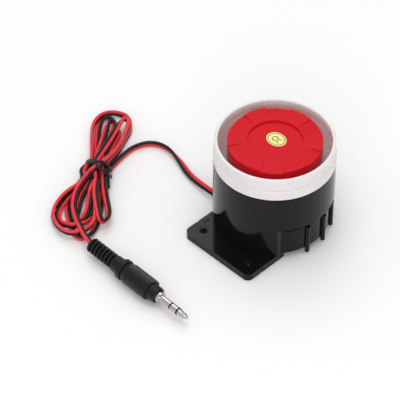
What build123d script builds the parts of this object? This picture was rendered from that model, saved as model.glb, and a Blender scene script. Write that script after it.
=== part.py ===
"""Mini piezo alarm siren with a flanged body, a reflex horn and a plug-ended twin lead.

Millimetres, +Z up along the horn's axis.  The origin is the point where that axis meets
the mounting plane, the flange points along -Y and the lead leaves along -X.
"""
from build123d import *
from math import cos, pi, radians, sin, tan
import os

os.makedirs("parts", exist_ok=True)

# ---------------------------------------------------------------- driving dimensions
BODY_R = 27.5            # upper body and horn bead
BODY_TOP = 38.0          # rim of the black body, where the white horn starts
STEP_Z = 18.7            # where the body steps in to the skirt
SKIRT_R = 26.0
SKIRT_BASE = 1.8         # the skirt hangs this far above the mounting plane
SKIRT_ROUND = 2.6
SKIRT_BORE_R = 24.0
UNDERCUT_R = 25.1        # narrow groove right under the step
UNDERCUT_H = 2.1
UPPER_BORE_R = 25.2

FLANGE_T = 3.5
FLANGE_HALF_W = 20.25
FLANGE_REACH = 37.0      # from the axis to the flange's front edge
FLANGE_BACK = 14.0       # the plate runs this far short of the axis under the body
FLANGE_CORNER_R = 3.0
BLOCK_BACK = 15.6        # the full-diameter block over the flange ends here
HOLE_R = 1.8
HOLE_SPACING = 28.2
HOLE_Y = -30.6

RIB_R = 1.1
RIB_RING = 26.4
RIB_BASE = 0.8
RIB_COUNT = 10
RIB_PITCH = 22.4         # degrees between ribs, which are centred on +Y
RIB_ANGLES = [90 + (index - (RIB_COUNT - 1) / 2) * RIB_PITCH for index in range(RIB_COUNT)]
RIB_FOOT = 0.8           # rounding under each rib

COVER_R = 22.2
COVER_SEAT_Z = 3.4
POST_R = 4.2
POST_RING = 20.0
POST_TOP = 11.0
POST_ANGLES = (15, 165)

HORN_TOP = 49.5
BAND_R = 27.0
LIP_R = 25.5
BEAD_TOP = 42.9
FLOOR_Z = 35.0           # inner floor of the horn's bowl
THROAT_R = 5.0
THROAT_WALL = 2.0
DRIVER_Z = 21.0          # upper face of the diaphragm
DRIVER_FLANGE_R = 20.0
CLAMP_SCREW_RING = 17.0
CLAMP_ANGLES = (0, 120, 240)

SCREW_R = 1.15           # self-tapping screws: shank, head and the holes they use
SCREW_HEAD_R = 1.9
SCREW_HEAD_T = 1.3
SCREW_PILOT_R = 1.15
SCREW_CLEAR_R = 1.35
SCREW_SINK_R = 2.1
COVER_BASE = 1.2
COVER_SINK = 1.4
PAD_R = 13.0             # round foot in the middle of the cover, flush with the mounting plane

CAP_R = 21.2
CAP_TOP = 49.0
CAP_WALL = 1.6
CAP_SKIRT_Z = 40.0
RECESS_R = 12.5
RECESS_DEPTH = 1.0
SECTOR_COUNT = 12
SECTOR_TURN = -5.0       # degrees the sectors are turned from +X
SECTOR_IN_R = 13.6
SECTOR_DROP = 0.7

FIN_IN_R = 8.0
FIN_OUT_R = 16.5
FIN_T = 1.6
LABEL_SPOT = (-0.4, 1.2)
LABEL_LONG = 9.8
LABEL_SHORT = 8.0
LABEL_TURN = -2.0
LABEL_T = 0.15

DIAPHRAGM_R = 13.5
DIAPHRAGM_T = 0.3
CERAMIC_R = 10.0
CERAMIC_T = 0.3
GASKET_T = 0.7
CLAMP_T = 2.2

BOARD_X = 30.0
BOARD_Y = 24.0
BOARD_T = 1.6
BOARD_Z = 5.6            # underside of the circuit board
BOARD_TOP = BOARD_Z + BOARD_T
BOARD_SCREW_X = 12.5
BOARD_SCREW_Y = 9.5
COIL_R = 4.0
COIL_H = 7.0
COIL_SPOT = (7.5, 5.5, 0)
TRANSISTOR_SPOT = (-1.5, 8.0)
CHIP_SPOT = (-3.5, 0.5)
CAPACITOR_SPOT = (-9.0, -7.5)
DISC_SPOT = (6.5, -1.5)
RESISTOR_SPOTS = [(column, -7.5) for column in (-3.6, -1.2, 1.2, 3.6)]
DIODE_SPOT = (7.6, -7.0)

CORD_D = 3.0             # width of the flat twin lead
CORD_R = CORD_D / 2
WIRE_R = 0.75
PIEZO_WIRE_R = 0.35
GROMMET_L = 6.1          # outer face to inner end
GROMMET_R = 1.7
GROMMET_LIP_R = 2.1
GROMMET_LIP_T = 0.8
EXIT = (-26.7, -10.4, 3.8)
SNOUT_HALF_W = 2.0

HANK_TIE = (-78.0, -35.7)
HANK_TURN = 126.5        # degrees from +X to the hank's long direction
HANK_TOP = 8.0
TIE_HALF_W = 5.6
TIE_BAND_W = 4.6
TIE_BAND_T = 1.0
TIE_BORE_TOP = 8.4

# The hank's outline: distance along its length from the tie, then to its left
HANK_OUTLINE = [
    (0, 4.8), (11, 7.4), (24, 9.8), (33.5, 8.2), (39, 3.2), (40.2, -2), (37.8, -8.4), (31, -11.6),
    (22, -11.2), (12, -9.4), (4.5, -7.8), (0, -5.5), (-5, -5.4), (-14, -7.4), (-22, -10.2),
    (-29.5, -12.0), (-34.5, -10.2), (-38.5, -7.8), (-43.5, -6.4), (-47.8, -1.8), (-47, 4.2),
    (-44.8, 9), (-41, 13.8), (-34.5, 17), (-28.5, 17), (-20.5, 14.6), (-12, 10.4), (-5.5, 7.8),
]

# The lead's route where it isn't folded: from the body to the hank, and on to the plug
BODY_LEAD = [
    EXIT, (-35.0, -10.3, 3.3), (-45.6, -8.6, 1.7), (-56.0, -4.7, 1.5), (-66.0, -2.4, 1.5),
    (-74.4, -5.6, 1.5), (-77.8, -14.0, 1.5), (-76.8, -22.6, 1.5), (-75.2, -29.6, 1.6),
]
PLUG_LEAD = [(-60.5, -66.0, 4.6), (-55.0, -70.0, 5.0), (-48.2, -72.8, 5.2), (-42.0, -73.3, 5.1)]

PLUG_ENTRY = (-42.0, -73.3)
PLUG_TURN = -1.1         # degrees from +X to the plug's axis
PLUG_Z = 5.1
PLUG_ROLL = 33.0         # the grip flats lean this far from level, away from the hank's side
RIDGE_COUNT = 7
RIDGE_PITCH = 2.15
RIDGE_W = 1.2
RIDGE_R = 3.5
RIDGE_GROWTH = 0.01
GROOVE_R = 2.2
SPINE_W = 1.8
NECK_R = 3.85
COLLAR_START = 19.9
COLLAR_R = 4.95
BARREL_START = 22.7
BARREL_END = 39.3
NOSE_END = 44.0
BARREL_R = 5.0
GRIP_FLAT = 4.45         # axis to each grip flat
NOSE_BASE_R = 4.0
NOSE_TIP_R = 3.6
PIN_R = 1.75
PIN_SEAT = NOSE_END + 1.6
SLEEVE_END = PIN_SEAT + 6.0
BAND_T = 0.8
RING_END = SLEEVE_END + BAND_T + 3.5
TIP_END = PIN_SEAT + 16.4


def save(part, name):
    """Label a finished piece and write its STEP file."""
    part.label = name
    export_step(part, f"parts/{name}.step")


def arc_radii(points):
    """The bend radius at each inner point of a lead's route."""
    corners = [Vector(*point) for point in points]
    radii = []
    for before, here, after in zip(corners, corners[1:], corners[2:]):
        run_in = here - before
        run_out = after - here
        half_turn = radians(run_in.get_angle(run_out)) / 2
        radii.append(0.45 * min(run_in.length, run_out.length) / tan(half_turn))
    return radii


def lead_path(points, name):
    """Straight runs joined by tangent arcs."""
    radii = arc_radii(points)
    print(name, "bend radii", [round(radius, 1) for radius in radii])
    with BuildLine() as path:
        FilletPolyline(*points, radius=radii)
    return path.wires()[0]


# ---------------------------------------------------------------- black housing
def ring_spots(ring_radius, angles):
    """Points on a circle about the axis at the given angles in degrees."""
    return [(ring_radius * cos(radians(angle)), ring_radius * sin(radians(angle))) for angle in angles]


# One half-round rib with a rounded foot, before it is set round the skirt
with BuildPart() as rib:
    with Locations((0, 0, RIB_BASE)):
        Cylinder(RIB_R, STEP_Z - RIB_BASE, align=(Align.CENTER, Align.CENTER, Align.MIN))
    fillet(rib.edges().group_by(Axis.Z)[0], RIB_FOOT)

with BuildPart() as housing:
    with BuildSketch(Plane.XY.offset(STEP_Z)):
        Circle(BODY_R)
    extrude(amount=BODY_TOP - STEP_Z)
    fillet(housing.edges().group_by(Axis.Z)[-1], 0.4)
    with BuildSketch(Plane.XY.offset(SKIRT_BASE)):
        Circle(SKIRT_R)
    extrude(amount=STEP_Z - SKIRT_BASE)
    skirt_foot = housing.edges().filter_by(GeomType.CIRCLE).group_by(Axis.Z)[0]
    fillet(skirt_foot, SKIRT_ROUND)
    # Full-diameter block that carries the body's wall down to the flange
    with BuildSketch(Plane.XY):
        Circle(BODY_R)
        with Locations((0, -BLOCK_BACK)):
            Rectangle(2 * FLANGE_HALF_W, BODY_R, align=(Align.CENTER, Align.MAX), mode=Mode.INTERSECT)
    extrude(amount=STEP_Z)
    # Mounting flange
    with BuildSketch(Plane.XY):
        with Locations((0, -FLANGE_BACK)):
            flange = Rectangle(2 * FLANGE_HALF_W, FLANGE_REACH - FLANGE_BACK,
                               align=(Align.CENTER, Align.MAX))
        fillet(flange.vertices().group_by(Axis.Y)[0], FLANGE_CORNER_R)
    extrude(amount=FLANGE_T)
    with Locations(*ring_spots(RIB_RING, RIB_ANGLES)):
        add(rib.part)
    # Undercut groove between the step and the ribs
    with BuildSketch(Plane.XY.offset(STEP_Z)):
        Circle(BODY_R + 0.5)
        Circle(UNDERCUT_R, mode=Mode.SUBTRACT)
        with Locations((0, -BLOCK_BACK)):
            Rectangle(60, 60, align=(Align.CENTER, Align.MIN), mode=Mode.INTERSECT)
    extrude(amount=-UNDERCUT_H, mode=Mode.SUBTRACT)
    # Flat-faced snout that the lead's grommet sits in
    with BuildSketch(Plane.YZ.offset(EXIT[0] + GROMMET_LIP_T)):
        with Locations((EXIT[1], EXIT[2])):
            Rectangle(2 * SNOUT_HALF_W, 5.4)
    extrude(amount=4.0)
    # Cavity, open at the top for the horn and at the bottom for the cover
    with BuildSketch(Plane.XY):
        Circle(COVER_R + 0.2)
        with Locations((0, -FLANGE_BACK)):
            Rectangle(60, 60, align=(Align.CENTER, Align.MIN), mode=Mode.INTERSECT)
    extrude(amount=COVER_SEAT_Z, mode=Mode.SUBTRACT)
    with BuildSketch(Plane.XY.offset(COVER_SEAT_Z)):
        Circle(SKIRT_BORE_R)
    extrude(amount=STEP_Z - COVER_SEAT_Z, mode=Mode.SUBTRACT)
    with BuildSketch(Plane.XY.offset(STEP_Z)):
        Circle(UPPER_BORE_R)
    extrude(amount=BODY_TOP - STEP_Z, mode=Mode.SUBTRACT)
    # Posts for the cover's screws, joined to the wall
    with BuildSketch(Plane.XY.offset(COVER_SEAT_Z)):
        with Locations(*ring_spots(POST_RING, POST_ANGLES)):
            Circle(POST_R)
        Circle(SKIRT_BORE_R + 0.5, mode=Mode.INTERSECT)
    extrude(amount=POST_TOP - COVER_SEAT_Z)
    with BuildSketch(Plane.XY.offset(COVER_SEAT_Z)):
        with Locations(*ring_spots(POST_RING, POST_ANGLES)):
            Circle(SCREW_PILOT_R)
    extrude(amount=6.5, mode=Mode.SUBTRACT)
    # Mounting holes with a shallow seat for the screw head
    with Locations(Plane.XY.offset(FLANGE_T)):
        with Locations(*[(side * HOLE_SPACING / 2, HOLE_Y) for side in (-1, 1)]):
            CounterBoreHole(radius=HOLE_R, counter_bore_radius=3.0, counter_bore_depth=0.12, depth=FLANGE_T)
    # Grommet hole, ejector slot and gate notches
    with BuildSketch(Plane.YZ.offset(EXIT[0])):
        with Locations((EXIT[1], EXIT[2])):
            Circle(GROMMET_R)
    extrude(amount=GROMMET_L, mode=Mode.SUBTRACT)
    with BuildSketch(Plane.XY.offset(FLANGE_T)):
        with Locations((-17.4, -25.4)):
            SlotOverall(3.0, 1.0, rotation=90)
    extrude(amount=-0.4, mode=Mode.SUBTRACT)
    with BuildSketch(Plane.XY):
        for side in (-1, 1):
            with Locations((side * FLANGE_HALF_W, -28.4)):
                Rectangle(0.5, 1.0)
    extrude(amount=FLANGE_T, mode=Mode.SUBTRACT)
save(housing.part, "housing")


# ---------------------------------------------------------------- base cover and its screws
with BuildPart() as base_cover:
    with BuildSketch(Plane.XY.offset(COVER_BASE)):
        Circle(COVER_R)
        with Locations((0, 0.2 - FLANGE_BACK)):
            Rectangle(60, 60, align=(Align.CENTER, Align.MIN), mode=Mode.INTERSECT)
    extrude(amount=COVER_SEAT_Z - COVER_BASE)
    with BuildSketch(Plane.XY):
        Circle(PAD_R)
    extrude(amount=COVER_BASE)
    with BuildSketch(Plane.XY.offset(COVER_SEAT_Z)):
        with GridLocations(2 * BOARD_SCREW_X, 2 * BOARD_SCREW_Y, 2, 2):
            Circle(2.4)
    extrude(amount=BOARD_Z - COVER_SEAT_Z)
    with Locations(Plane.XY.offset(BOARD_Z)):
        with Locations((-BOARD_SCREW_X, BOARD_SCREW_Y), (BOARD_SCREW_X, -BOARD_SCREW_Y)):
            Hole(SCREW_PILOT_R, depth=3.4)
    with BuildSketch(Plane.XY.offset(COVER_BASE)):
        with Locations(*ring_spots(POST_RING, POST_ANGLES)):
            Circle(SCREW_CLEAR_R)
    extrude(amount=COVER_SEAT_Z - COVER_BASE, mode=Mode.SUBTRACT)
    with BuildSketch(Plane.XY.offset(COVER_BASE)):
        with Locations(*ring_spots(POST_RING, POST_ANGLES)):
            Circle(SCREW_SINK_R)
    extrude(amount=COVER_SINK, mode=Mode.SUBTRACT)
save(base_cover.part, "base_cover")


def screws(spots, head_z, length, point_up):
    """Pan-head self-tapping screws whose heads bear at head_z, one solid for each spot."""
    direction = 1 if point_up else -1
    with BuildPart() as group:
        with BuildSketch(Plane.XY.offset(head_z)):
            with Locations(*spots):
                Circle(SCREW_HEAD_R)
        extrude(amount=-direction * SCREW_HEAD_T)
        with BuildSketch(Plane.XY.offset(head_z)):
            with Locations(*spots):
                Circle(SCREW_R)
        extrude(amount=direction * length)
        # Cross recess in each head
        with BuildSketch(Plane.XY.offset(head_z - direction * SCREW_HEAD_T)):
            with Locations(*spots):
                Rectangle(2.4, 0.5)
                Rectangle(0.5, 2.4)
        extrude(amount=direction * 0.7, mode=Mode.SUBTRACT)
    return group.part


save(screws(ring_spots(POST_RING, POST_ANGLES), COVER_BASE + COVER_SINK, 6.4, True), "cover_screws")


# ---------------------------------------------------------------- white horn
with BuildPart() as horn_ring:
    with BuildSketch(Plane.XZ):
        with BuildLine():
            outer = Polyline(
                (LIP_R + 0.35, HORN_TOP),
                (BAND_R - 0.5, HORN_TOP),
                (BAND_R, HORN_TOP - 0.6),
                (BAND_R, BEAD_TOP + 0.5),
                (BAND_R - 0.3, BEAD_TOP + 0.2),
                (BODY_R - 0.5, BEAD_TOP),
                (BODY_R, BEAD_TOP - 0.6),
                (BODY_R, BODY_TOP + 0.3),
                (BODY_R - 0.3, BODY_TOP),
                (UPPER_BORE_R - 0.1, BODY_TOP),
                (UPPER_BORE_R - 0.1, BODY_TOP - 4.0),
                (UPPER_BORE_R - 1.7, BODY_TOP - 4.0),
                (UPPER_BORE_R - 1.7, BODY_TOP - 0.6),
                (17.6, FLOOR_Z - 1.8),
                (THROAT_R + THROAT_WALL, FLOOR_Z - 1.8),
                (THROAT_R + THROAT_WALL, DRIVER_Z + 2.2),
                (DRIVER_FLANGE_R, DRIVER_Z + 2.2),
                (DRIVER_FLANGE_R, DRIVER_Z - 1.0),
                (DIAPHRAGM_R + 0.1, DRIVER_Z - 1.0),
                (DIAPHRAGM_R + 0.1, DRIVER_Z),
                (DIAPHRAGM_R - 0.9, DRIVER_Z),
                (DIAPHRAGM_R - 0.9, DRIVER_Z + 0.7),
                (THROAT_R, DRIVER_Z + 0.7),
                (THROAT_R, FLOOR_Z + 8.0),
                (THROAT_R + THROAT_WALL, FLOOR_Z + 8.0),
                (THROAT_R + THROAT_WALL, FLOOR_Z),
                (17.0, FLOOR_Z),
            )
            bowl = RadiusArc(outer @ 1, (LIP_R - 0.9, FLOOR_Z + 7.0), -12.0)
            wall = Polyline(bowl @ 1, (LIP_R, HORN_TOP - 4.7), (LIP_R, HORN_TOP - 0.35))
            Line(wall @ 1, outer @ 0)
        make_face()
    revolve(axis=Axis.Z)
    # Screw bosses on the driver flange
    with BuildSketch(Plane.XY.offset(DRIVER_Z + 2.2)):
        with Locations(*ring_spots(CLAMP_SCREW_RING, CLAMP_ANGLES)):
            Circle(2.6)
    extrude(amount=5.0)
    with BuildSketch(Plane.XY.offset(DRIVER_Z - 1.0)):
        with Locations(*ring_spots(CLAMP_SCREW_RING, CLAMP_ANGLES)):
            Circle(SCREW_PILOT_R)
    extrude(amount=7.0, mode=Mode.SUBTRACT)
save(horn_ring.part, "horn_ring")


# ---------------------------------------------------------------- red reflector cap and its label
with BuildPart() as reflector_cap:
    with BuildSketch(Plane.XY.offset(CAP_SKIRT_Z)):
        Circle(CAP_R)
    extrude(amount=CAP_TOP - CAP_SKIRT_Z)
    with BuildSketch(Plane.XY.offset(CAP_SKIRT_Z)):
        Circle(CAP_R - CAP_WALL)
    extrude(amount=CAP_TOP - CAP_SKIRT_Z - RECESS_DEPTH - CAP_WALL, mode=Mode.SUBTRACT)
    with BuildSketch(Plane.XY.offset(CAP_TOP)):
        Circle(RECESS_R)
    extrude(amount=-RECESS_DEPTH, mode=Mode.SUBTRACT)
    # Every other sector of the rim falls away outwards
    for index in range(0, SECTOR_COUNT, 2):
        turn = SECTOR_TURN + index * 360 / SECTOR_COUNT
        with BuildSketch(Plane.XZ.rotated((0, 0, turn))):
            with BuildLine():
                Polyline((SECTOR_IN_R, CAP_TOP), (CAP_R + 1.0, CAP_TOP),
                         (CAP_R + 1.0, CAP_TOP - SECTOR_DROP), close=True)
            make_face()
        revolve(axis=Axis.Z, revolution_arc=360 / SECTOR_COUNT, mode=Mode.SUBTRACT)
    # Three fins stand on the bowl's floor, clear of the throat tube
    with BuildSketch(Plane.XY.offset(FLOOR_Z)):
        with PolarLocations(FIN_IN_R, 3, start_angle=30):
            Rectangle(FIN_OUT_R - FIN_IN_R, FIN_T, align=(Align.MIN, Align.CENTER))
    extrude(amount=CAP_TOP - RECESS_DEPTH - CAP_WALL - FLOOR_Z)
save(reflector_cap.part, "reflector_cap")


with BuildPart() as cap_label:
    with BuildSketch(Plane.XY.offset(CAP_TOP - RECESS_DEPTH)):
        with Locations(LABEL_SPOT):
            Ellipse(LABEL_LONG / 2, LABEL_SHORT / 2, rotation=LABEL_TURN)
    extrude(amount=LABEL_T)
save(cap_label.part, "cap_label")


# ---------------------------------------------------------------- piezo driver under the throat
with BuildPart() as diaphragm_disc:
    with BuildSketch(Plane.XY.offset(DRIVER_Z - DIAPHRAGM_T)):
        Circle(DIAPHRAGM_R)
    extrude(amount=DIAPHRAGM_T)
save(diaphragm_disc.part, "diaphragm_disc")

with BuildPart() as piezo_ceramic:
    with BuildSketch(Plane.XY.offset(DRIVER_Z - DIAPHRAGM_T)):
        Circle(CERAMIC_R)
    extrude(amount=-CERAMIC_T)
save(piezo_ceramic.part, "piezo_ceramic")

with BuildPart() as diaphragm_gasket:
    with BuildSketch(Plane.XY.offset(DRIVER_Z - DIAPHRAGM_T)):
        Circle(DIAPHRAGM_R)
        Circle(DIAPHRAGM_R - 1.2, mode=Mode.SUBTRACT)
    extrude(amount=-GASKET_T)
save(diaphragm_gasket.part, "diaphragm_gasket")

with BuildPart() as driver_clamp:
    with BuildSketch(Plane.XY.offset(DRIVER_Z - 1.0)):
        Circle(DRIVER_FLANGE_R)
        Circle(CERAMIC_R - 1.5, mode=Mode.SUBTRACT)
        with Locations(*ring_spots(CLAMP_SCREW_RING, CLAMP_ANGLES)):
            Circle(SCREW_CLEAR_R, mode=Mode.SUBTRACT)
    extrude(amount=-CLAMP_T)
save(driver_clamp.part, "driver_clamp")

clamp_spots = ring_spots(CLAMP_SCREW_RING, CLAMP_ANGLES)
save(screws(clamp_spots, DRIVER_Z - 1.0 - CLAMP_T, 8.0, True), "clamp_screws")


# ---------------------------------------------------------------- circuit board and its parts
board_screw_spots = [(-BOARD_SCREW_X, BOARD_SCREW_Y), (BOARD_SCREW_X, -BOARD_SCREW_Y)]

with BuildPart() as circuit_board:
    with BuildSketch(Plane.XY.offset(BOARD_Z)):
        RectangleRounded(BOARD_X, BOARD_Y, 1.5)
        with Locations(*board_screw_spots):
            Circle(SCREW_CLEAR_R, mode=Mode.SUBTRACT)
    extrude(amount=BOARD_T)
save(circuit_board.part, "circuit_board")
save(screws(board_screw_spots, BOARD_TOP, 4.6, False), "board_screws")


def board_pins(spots, top, radius=0.3):
    """Round leads that stand on the board."""
    with BuildPart() as pins:
        with BuildSketch(Plane.XY.offset(BOARD_TOP)):
            with Locations(*spots):
                Circle(radius)
        extrude(amount=top - BOARD_TOP)
    return pins.part


with BuildPart() as inductor_core:
    with BuildSketch(Plane.XZ):
        with BuildLine():
            Polyline((0, BOARD_TOP), (COIL_R, BOARD_TOP), (COIL_R, BOARD_TOP + 1.2),
                     (COIL_R - 1.8, BOARD_TOP + 1.2), (COIL_R - 1.8, BOARD_TOP + COIL_H - 1.2),
                     (COIL_R, BOARD_TOP + COIL_H - 1.2), (COIL_R, BOARD_TOP + COIL_H),
                     (0, BOARD_TOP + COIL_H), close=True)
        make_face()
    revolve(axis=Axis.Z)
save(inductor_core.part.move(Location(COIL_SPOT)), "inductor_core")

with BuildPart() as inductor_winding:
    with BuildSketch(Plane.XY.offset(BOARD_TOP + 1.2)):
        Circle(COIL_R - 0.4)
        Circle(COIL_R - 1.8, mode=Mode.SUBTRACT)
    extrude(amount=COIL_H - 2.4)
save(inductor_winding.part.move(Location(COIL_SPOT)), "inductor_winding")

transistor_x, transistor_y = TRANSISTOR_SPOT
transistor_pins = board_pins(
    [(transistor_x + offset, transistor_y) for offset in (-1.27, 0, 1.27)], BOARD_TOP + 3.0, 0.25)
with BuildPart() as switching_transistor:
    with BuildSketch(Plane.XY.offset(BOARD_TOP + 2.5)):
        with Locations(TRANSISTOR_SPOT):
            Circle(2.4)
            Rectangle(5.0, 2.6, align=(Align.CENTER, Align.MAX), mode=Mode.SUBTRACT)
            Rectangle(4.6, 1.3, align=(Align.CENTER, Align.MAX))
    extrude(amount=4.6)
    add(transistor_pins)
save(switching_transistor.part, "switching_transistor")

chip_x, chip_y = CHIP_SPOT
with BuildPart() as timer_chip:
    with BuildSketch(Plane.XY.offset(BOARD_TOP + 0.5)):
        with Locations(CHIP_SPOT):
            Rectangle(9.4, 6.2)
        with Locations((chip_x - 4.7, chip_y)):
            Circle(0.8, mode=Mode.SUBTRACT)
    extrude(amount=3.2)
    for side in (-1, 1):
        with BuildSketch(Plane.XY.offset(BOARD_TOP)):
            with Locations((chip_x, chip_y + side * 3.6)):
                with GridLocations(2.54, 1, 4, 1):
                    Rectangle(0.6, 0.3)
        extrude(amount=2.4)
        with BuildSketch(Plane.XY.offset(BOARD_TOP + 2.1)):
            with Locations((chip_x, chip_y + side * 3.4)):
                with GridLocations(2.54, 1, 4, 1):
                    Rectangle(1.4, 0.7)
        extrude(amount=0.3)
save(timer_chip.part, "timer_chip")

with BuildPart() as electrolytic_capacitor:
    with BuildSketch(Plane.XY.offset(BOARD_TOP)):
        with Locations(CAPACITOR_SPOT):
            Circle(2.5)
    extrude(amount=7.0)
    fillet(electrolytic_capacitor.edges().filter_by(GeomType.CIRCLE), 0.4)
save(electrolytic_capacitor.part, "electrolytic_capacitor")

disc_x, disc_y = DISC_SPOT
disc_pins = board_pins([(disc_x + offset, disc_y) for offset in (-1.25, 1.25)], BOARD_TOP + 3.0)
with BuildPart() as disc_capacitor:
    with BuildSketch(Plane.XZ.offset(-disc_y)):
        with Locations((disc_x, BOARD_TOP + 4.4)):
            Circle(2.6)
    extrude(amount=0.8, both=True)
    add(disc_pins)
save(disc_capacitor.part, "disc_capacitor")


def axial_part(centre, body_length, body_radius, half_span):
    """A body lying along Y on two bent leads."""
    x, y = centre
    axis_z = BOARD_TOP + body_radius + 0.3
    pins = board_pins([(x, y - half_span), (x, y + half_span)], axis_z, 0.25)
    with BuildPart() as piece:
        with BuildSketch(Plane.XZ.offset(-y)):
            with Locations((x, axis_z)):
                Circle(body_radius)
        extrude(amount=body_length / 2, both=True)
        with BuildSketch(Plane.XZ.offset(-y)):
            with Locations((x, axis_z)):
                Circle(0.25)
        extrude(amount=half_span + 0.25, both=True)
        add(pins)
    return piece.part


resistor_row = [axial_part(spot, 3.4, 0.9, 3.2) for spot in RESISTOR_SPOTS]
with BuildPart() as resistors:
    add(resistor_row)
save(resistors.part, "resistors")
save(axial_part(DIODE_SPOT, 4.6, 1.3, 4.0), "protection_diode")


# ---------------------------------------------------------------- leads inside the body
def round_lead(points, radius, name):
    """A round wire along straight runs joined by tangent arcs."""
    path = lead_path(points, name)
    with BuildPart() as wire:
        with BuildSketch(Plane(origin=path @ 0, z_dir=path % 0)):
            Circle(radius)
        sweep(path=path)
    print(name, "volume", round(wire.part.volume, 1), "expected", round(pi * radius**2 * path.length, 1))
    return wire.part


with BuildPart() as cord_grommet:
    with BuildSketch(Plane.YZ.offset(EXIT[0])):
        with Locations((EXIT[1], EXIT[2])):
            Circle(GROMMET_LIP_R)
    extrude(amount=GROMMET_LIP_T)
    with BuildSketch(Plane.YZ.offset(EXIT[0])):
        with Locations((EXIT[1], EXIT[2])):
            Circle(GROMMET_R)
    extrude(amount=GROMMET_L)
save(cord_grommet.part, "cord_grommet")

for name, side in (("inner_lead_red", 1), ("inner_lead_black", -1)):
    inner_x = EXIT[0] + GROMMET_L
    start_y = EXIT[1] + side * (WIRE_R + 0.02)
    start_z = EXIT[2] + 0.4
    points = [
        (inner_x, start_y, start_z),
        (inner_x + 1.4, start_y, start_z + 0.5),
        (inner_x + 2.2, start_y + 0.2, start_z + 3.0),
        (inner_x + 3.2, start_y + 0.4, start_z + 6.0),
        (inner_x + 5.6, start_y + 0.7, start_z + 8.0),
        (inner_x + 7.6, start_y + 0.9, start_z + 6.4),
        (inner_x + 8.0, start_y + 1.0, BOARD_TOP + 0.1),
    ]
    whole_wire = round_lead(points, WIRE_R, name)
    with BuildPart() as inner_lead:
        add(whole_wire)
        add(cord_grommet.part, mode=Mode.SUBTRACT)
    save(inner_lead.part, name)

ceramic_base = DRIVER_Z - DIAPHRAGM_T - CERAMIC_T - 0.1
piezo_wires = [
    round_lead([(2.4, 10.6, BOARD_TOP + 0.1), (2.2, 9.8, 11.0), (0.8, 7.0, 15.4), (1.5, 5.0, ceramic_base)],
               PIEZO_WIRE_R, "piezo_leads"),
    round_lead([(-11.6, 3.0, BOARD_TOP + 0.1), (-10.8, 2.4, 11.0), (-7.6, 1.6, 15.0),
                (-6.4, 2.2, ceramic_base)], PIEZO_WIRE_R, "piezo_leads"),
]
with BuildPart() as piezo_leads:
    add(piezo_wires)
save(piezo_leads.part, "piezo_leads")


# ---------------------------------------------------------------- free twin lead, hank and tie
hank_plane = Plane(origin=(*HANK_TIE, 0), x_dir=(cos(radians(HANK_TURN)), sin(radians(HANK_TURN)), 0),
                   z_dir=(0, 0, 1))

with BuildPart() as cord_tie:
    # A flat band round the hank's waist, and its twisted ends
    with BuildSketch(hank_plane):
        Rectangle(TIE_BAND_W, 2 * (TIE_HALF_W + TIE_BAND_T))
    extrude(amount=TIE_BORE_TOP + TIE_BAND_T)
    fillet(cord_tie.edges().filter_by(Axis(hank_plane.origin, hank_plane.x_dir)), 2.0)
    with BuildSketch(hank_plane.offset(TIE_BAND_T)):
        Rectangle(TIE_BAND_W + 2.0, 2 * TIE_HALF_W)
    extrude(amount=TIE_BORE_TOP - TIE_BAND_T, mode=Mode.SUBTRACT)
save(cord_tie.part, "cord_tie")

with BuildPart() as cord_hank:
    with BuildSketch(hank_plane):
        with BuildLine():
            Spline(*HANK_OUTLINE, periodic=True)
        make_face()
    extrude(amount=HANK_TOP)
    with BuildSketch(hank_plane):
        Rectangle(TIE_BAND_W, 2 * (TIE_HALF_W + 6.0))
        Rectangle(TIE_BAND_W, 2 * TIE_HALF_W, mode=Mode.SUBTRACT)
    extrude(amount=HANK_TOP, mode=Mode.SUBTRACT)
    with BuildSketch(hank_plane):
        Rectangle(TIE_BAND_W, 2 * (TIE_HALF_W + 6.0))
    extrude(amount=TIE_BAND_T, mode=Mode.SUBTRACT)
save(cord_hank.part, "cord_hank")

body_lead_whole = round_lead(BODY_LEAD, CORD_R, "body_lead")
with BuildPart() as body_lead:
    add(body_lead_whole)
    add(cord_hank.part, mode=Mode.SUBTRACT)
    add(cord_grommet.part, mode=Mode.SUBTRACT)
save(body_lead.part, "body_lead")


# ---------------------------------------------------------------- 3.5 mm plug
def plug_plane(distance):
    """The plane across the plug's axis, a distance from where the lead enters it."""
    axis = Vector(cos(radians(PLUG_TURN)), sin(radians(PLUG_TURN)), 0)
    level = Vector(0, 0, 1).cross(axis)
    across = level * cos(radians(PLUG_ROLL)) - Vector(0, 0, 1) * sin(radians(PLUG_ROLL))
    return Plane(origin=Vector(*PLUG_ENTRY, PLUG_Z) + axis * distance, x_dir=across, z_dir=axis)


def turned_piece(profile, bore=0.0):
    """A solid of revolution about the plug's axis from (distance, radius) points."""
    start = profile[0][0]
    end = profile[-1][0]
    base = plug_plane(0)
    side = Plane(origin=base.origin, x_dir=base.z_dir, z_dir=base.x_dir)
    with BuildPart() as piece:
        with BuildSketch(side):
            with BuildLine():
                Polyline((start, bore), *profile, (end, bore), close=True)
            make_face()
        revolve(axis=Axis(base.origin, base.z_dir))
    return piece.part


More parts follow.
